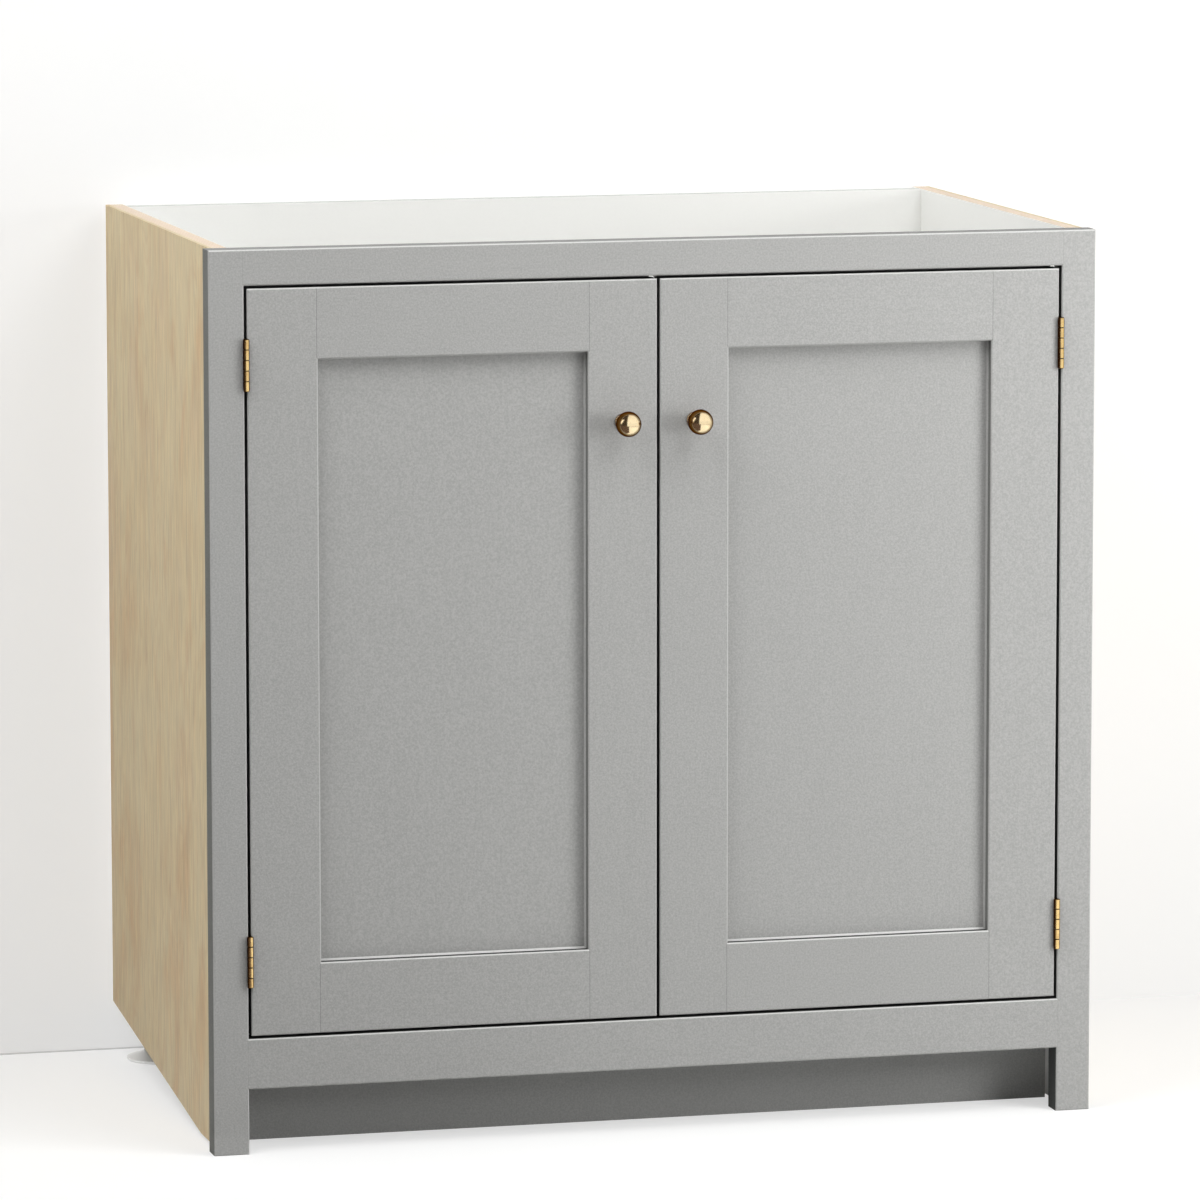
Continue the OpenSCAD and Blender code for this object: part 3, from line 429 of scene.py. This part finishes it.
# %% [markdown]
# ## Plastic
# The rear feet, their sockets and the door catches are moulded. A plain grey would do from afar, but
# moulded plastic has a fine spark-eroded skin and goes paler along the edges where it scuffs, and the
# feet stand on a bright plated rim that catches the light in the photograph.

# %% The plastic recipe
def moulded_plastic(name, colour, pale, rough, plated_below=None):
    """The sides that lie lower than plated_below, in millimetres, are the bright plated rim."""
    f = Finish(name)
    skin = f.mottle(0.5)
    wide = f.mottle(18.0)
    nx, ny, nz = [f.math("ABSOLUTE", n) for n in f.axes(f.facing)]
    flatness = f.math("MAXIMUM", f.math("MAXIMUM", nx, ny), nz)
    patches = f.between(f.mottle(3.0), 0.4, 0.7, 0.0, 0.6)
    scuff = f.math("MULTIPLY", f.between(flatness, 0.95, 0.75), patches)
    body = f.shaded(f.blend(scuff, colour, pale), f.total(0.97, (wide, 0.06)))
    if plated_below:
        low = f.math("LESS_THAN", f.axes(f.place)[2], plated_below)
        f.feed(f.shader.inputs["Metallic"], f.math("MULTIPLY", low, f.between(nz, 0.8, 0.6)))
    return f.end(body, f.total(rough, (skin, 0.15)), f.relief(skin, 0.02))


FOOT_RIM = 3.2
finishes["foot"] = moulded_plastic("Grey foot plastic", tint("f2f2f0"), tint("ffffff"), 0.38, FOOT_RIM)
finishes["catch"] = moulded_plastic("White catch plastic", tint("e4e4de"), tint("f6f6f2"), 0.36)
print("finishes:", len(finishes))

# %% [markdown]
# ## Dressing the pieces
# On the bench each board gets its finish before the cabinet is put together. The pieces could be picked
# by eye, one at a time, but the names of the solids already say what each one is. So a list of endings
# chooses the finish, from the top down, and the printed count shows that nothing was left bare.

# %% Give every piece its finish
CHOICE = [
    ("frame_left_stile", "frame_upright"), ("frame_right_stile", "frame_upright"),
    ("frame_top_rail", "frame_level"), ("frame_bottom_rail", "frame_level"),
    ("_hinge_stile", "door_upright"), ("_meeting_stile", "door_upright"),
    ("_top_rail", "door_level"), ("_bottom_rail", "door_level"), ("_door_panel", "door_panel"),
    ("_side_panel", "side"), ("base_panel", "level_board"), ("back_panel", "back_board"),
    ("shelf_pegs", "steel"), ("shelf", "level_board"), ("plinth_board", "plinth"),
    ("plinth_blocks", "blocks"), ("_dowels", "dowels"), ("_stop_lath", "lath"),
    ("_leg_socket", "foot"), ("_foot", "foot"),
    ("catch_plates", "steel"), ("catch_screws", "steel"), ("_catch", "catch"),
    ("hinge_screws", "brass_screw"), ("_leaf", "hinge"), ("_pin", "hinge"), ("_knob", "knob"),
    ("_screw", "steel"), ("_screws", "steel"), ("_strike", "steel"),
]
dressed = {}
for name, piece in sorted(pieces.items()):
    finish = next(finish for ending, finish in CHOICE if name.endswith(ending))
    piece.material_slots[0].material = finishes[finish]
    dressed.setdefault(finish, []).append(name)
print({finish: len(names) for finish, names in sorted(dressed.items())})
print("dressed pieces:", sum(len(names) for names in dressed.values()), "of", len(pieces))

# %% [markdown]
# ## The studio
# The photograph shows a white room: a white floor, and a white wall close behind the cabinet. A curved
# paper sweep would do, but the line where floor meets wall shows on both sides, so both are flat. The
# wall lets light and the view through from behind, so the cabinet's back can be looked at as well. At
# the wall's foot the photograph shows a thin dark line to the left of the cabinet. It is a painted shade
# line here, a grey strip of its own, because two clean sheets that only touch leave no dark line.

# %% The white of floor and wall
def studio_white(name, lift, see_through_back=True):
    """Plain matt white. The camera, and mirrors that show the room, see it brighter by lift."""
    f = Finish(name)
    speck = f.mottle(240.0, detail=3.0)
    f.end(f.blend(speck, tint("bdbdbc"), tint("bfbfbe")), 0.8, Specular_IOR_Level=0.1)
    tree, links = f.tree, f.tree.links
    glow = tree.nodes.new("ShaderNodeEmission")
    glow.inputs["Color"].default_value = tint("ffffff")
    path = tree.nodes.new("ShaderNodeLightPath").outputs
    seen = f.math("MAXIMUM", path["Is Camera Ray"], path["Is Glossy Ray"])
    seen = f.math("MAXIMUM", seen, path["Is Transmission Ray"])
    links.new(f.math("MULTIPLY", seen, lift), glow.inputs["Strength"])
    last = tree.nodes.new("ShaderNodeAddShader")
    links.new(f.shader.outputs[0], last.inputs[0])
    links.new(glow.outputs[0], last.inputs[1])
    if see_through_back:
        front, last = last, tree.nodes.new("ShaderNodeMixShader")
        clear = tree.nodes.new("ShaderNodeBsdfTransparent")
        back = tree.nodes.new("ShaderNodeNewGeometry").outputs["Backfacing"]
        links.new(f.math("MAXIMUM", back, path["Is Shadow Ray"]), last.inputs[0])
        links.new(front.outputs[0], last.inputs[1])
        links.new(clear.outputs[0], last.inputs[2])
    links.new(last.outputs[0], tree.nodes["Material Output"].inputs["Surface"])
    return f.material


# %% Floor and wall
def stage_sheet(name, points, faces, material):
    mesh = bpy.data.meshes.new(name)
    mesh.from_pydata(points, [], faces)
    mesh.materials.append(material)
    sheet = bpy.data.objects.new(name, mesh)
    bpy.context.scene.collection.objects.link(sheet)
    return sheet


def upright_sheet(name, left, right, y, height, material):
    corners = [(left, y, 0), (right, y, 0), (right, y, height), (left, y, height)]
    return stage_sheet(name, corners, [range(4)], material)


ROOM, WALL_Y, WALL_H = 30.0, 0.306, 9.0
SHADE_LINE_H, SHADE_LINE_PROUD = 0.0018, 0.0005
floor_corners = [(-ROOM, -ROOM, 0), (ROOM, -ROOM, 0), (ROOM, ROOM, 0), (-ROOM, ROOM, 0)]
floor_white = studio_white("Studio floor", 0.54, see_through_back=False)
stage_sheet("studio_floor", floor_corners, [range(4)], floor_white)
wall = upright_sheet("studio_wall", -ROOM, ROOM, WALL_Y, WALL_H, studio_white("Studio wall", 0.52))
# A thin grey strip at the wall's foot is a painted shade line.
upright_sheet("studio_joint", -ROOM, 0, WALL_Y - SHADE_LINE_PROUD, SHADE_LINE_H, studio_white("Wall shade line", 0.30))
print("wall faces", [round(v, 2) for v in wall.data.polygons[0].normal])

# %% [markdown]
# ## Light
# The photograph's light comes from a tall window to the right and in front, helped by a skylight on the
# upper left. One point lamp would give hard shadows. Large area lamps give the soft ones, two of them
# standing over each other for the window. Their powers were worked out by rendering the cabinet with one
# lamp at a time and finding the mixture that matches the photograph's brightness on the painted front.
# The last lamp stands behind, so that the cabinet's back can be seen too. It is linked to the cabinet
# alone and leaves the room as it is.

# %% Lamps
MIDDLE = Vector((0, 0, 0.45))


def area_lamp(name, turn, lift, away, size, power):
    """A square lamp seen from the cabinet's middle at that bearing and height, aimed at it."""
    light = bpy.data.lights.new(name, "AREA")
    light.shape, light.size, light.energy = "SQUARE", size, power
    lamp = bpy.data.objects.new(name, light)
    turn, lift = math.radians(turn), math.radians(lift)
    towards = Vector((math.sin(turn) * math.cos(lift), -math.cos(turn) * math.cos(lift), math.sin(lift)))
    lamp.location = MIDDLE + away * towards
    lamp.rotation_euler = (-towards).to_track_quat("-Z", "Y").to_euler()
    lamp.visible_camera = lamp.visible_glossy = False
    bpy.context.scene.collection.objects.link(lamp)
    return lamp


lamps = [
    area_lamp("window_low", turn=45, lift=12, away=2.0, size=0.8, power=17),
    area_lamp("window_high", turn=30, lift=50, away=2.8, size=1.8, power=34.5),
    area_lamp("skylight", turn=-60, lift=50, away=2.8, size=1.8, power=41),
    area_lamp("rear_fill", turn=-120, lift=35, away=3.0, size=1.8, power=9),
    area_lamp("back_window", turn=180, lift=20, away=2.4, size=1.8, power=45),
]
cabinet_only = bpy.data.collections.new("cabinet_only")
for piece in pieces.values():
    cabinet_only.objects.link(piece)
lamps[-1].light_linking.receiver_collection = cabinet_only
print("lamps:", {lamp.name: lamp.data.energy for lamp in lamps})

# %% [markdown]
# The brass shows more of the room than the paint does: a white half on the right, a dark half on the
# left, and one small bright window far round to the left. Mirrors therefore see a white world, and on
# the left a dark screen, ceiling and rug. All of them are hidden from everything that isn't a mirror,
# so they change no other brightness.

# %% The world
WORLD_FILL, WORLD_SEEN = 0.06, 1.08
world = bpy.data.worlds.new("Studio world")
bpy.context.scene.world = world
world.use_nodes = True
sky = world.node_tree
path = sky.nodes.new("ShaderNodeLightPath").outputs


def world_math(operation, a, b, c=0.0):
    node = sky.nodes.new("ShaderNodeMath")
    node.operation = operation
    for socket, value in zip(node.inputs, (a, b, c)):
        if isinstance(value, bpy.types.NodeSocket):
            sky.links.new(value, socket)
        else:
            socket.default_value = value
    return node.outputs[0]


shown = world_math("MAXIMUM", path["Is Camera Ray"], path["Is Glossy Ray"])
shown = world_math("MAXIMUM", shown, path["Is Transmission Ray"])
background = sky.nodes["Background"]
background.inputs["Color"].default_value = (1, 1, 1, 1)
strength = world_math("MULTIPLY_ADD", shown, WORLD_SEEN - WORLD_FILL, WORLD_FILL)
sky.links.new(strength, background.inputs["Strength"])
print("the world lights with", WORLD_FILL, "and shows", WORLD_SEEN)


# %% The room that mirrors see
def glowing(name, code, strength=1.0):
    light = {"Emission_Color": tint(code), "Emission_Strength": strength}
    return Finish(name).end(tint("000000"), 1.0, Specular_IOR_Level=0.0, **light)


KNOB_LEVEL = Vector((0.0, -0.28, 0.79))


def arc(radius, height, first, last, steps=17):
    """Points round the knobs at that radius and height, between two bearings."""
    for step in range(steps):
        turn = math.radians(first + (last - first) * step / (steps - 1))
        yield (KNOB_LEVEL.x + radius * math.sin(turn), KNOB_LEVEL.y - radius * math.cos(turn), height)


def mirror_sheet(name, one_edge, other_edge, material):
    """A bent sheet between two arcs that only mirrors see."""
    points = [*one_edge, *other_edge]
    count = len(points) // 2
    faces = [(i, i + 1, count + i + 1, count + i) for i in range(count - 1)]
    sheet = stage_sheet(name, points, faces, material)
    for ray in ("camera", "diffuse", "transmission", "shadow", "volume_scatter"):
        setattr(sheet, "visible_" + ray, False)
    return sheet


SPLIT, DIM_END, BEHIND = -27, -96, -203
FAR, CEILING = 5.0, 5.0
dim_room, dim_floor = glowing("Dim room", "433b34"), glowing("Dim floor", "62534f")
lit_room, lit_window = glowing("Lit room", "ffffff"), glowing("Lit window", "ffffff", 1.7)
reflected = [
    mirror_sheet("dark_screen", arc(FAR, 0.0, SPLIT, DIM_END), arc(FAR, CEILING, SPLIT, DIM_END), dim_room),
    mirror_sheet("dark_ceiling", arc(FAR, CEILING, SPLIT, BEHIND), arc(0.01, CEILING, SPLIT, BEHIND),
                 dim_room),
    mirror_sheet("dark_rug", arc(0.15, 0.02, -12, DIM_END), arc(FAR, 0.02, -12, DIM_END), dim_floor),
    mirror_sheet("far_window", arc(4.0, 1.1, -81, -99, 5), arc(4.0, 3.9, -67, -88, 5), lit_window),
    mirror_sheet("bright_screen", arc(3.0, 0.0, SPLIT, 96), arc(3.0, 1.2, SPLIT, 96), lit_room),
]
print("seen by mirrors only:", [sheet.name for sheet in reflected])

# %% [markdown]
# ## The camera
# The picture was taken from some way off with a long lens, standing to the left and looking slightly
# down. Its place could be tried out by eye. It was worked out instead from where the frame's corners
# lie in the picture, given the cabinet's real width and height.

# %% Place the camera
TURN, TILT, ROLL = math.radians(14.6840), math.radians(7.7645), math.radians(0.0408)
camera_data = bpy.data.cameras.new("photo_camera")
camera = bpy.data.objects.new("photo_camera", camera_data)
bpy.context.scene.collection.objects.link(camera)
camera_data.sensor_width, camera_data.lens = 36.0, 230.028
camera_data.clip_start, camera_data.clip_end = 0.1, 100.0
camera.location = (-1.9515, -7.47755, 1.5545)
camera.rotation_euler = (math.radians(90) - TILT, ROLL, -TURN)
bpy.context.scene.camera = camera
bpy.context.scene.view_settings.view_transform = "Standard"
print("camera is", round((camera.location - MIDDLE).length, 2), "m from the cabinet")
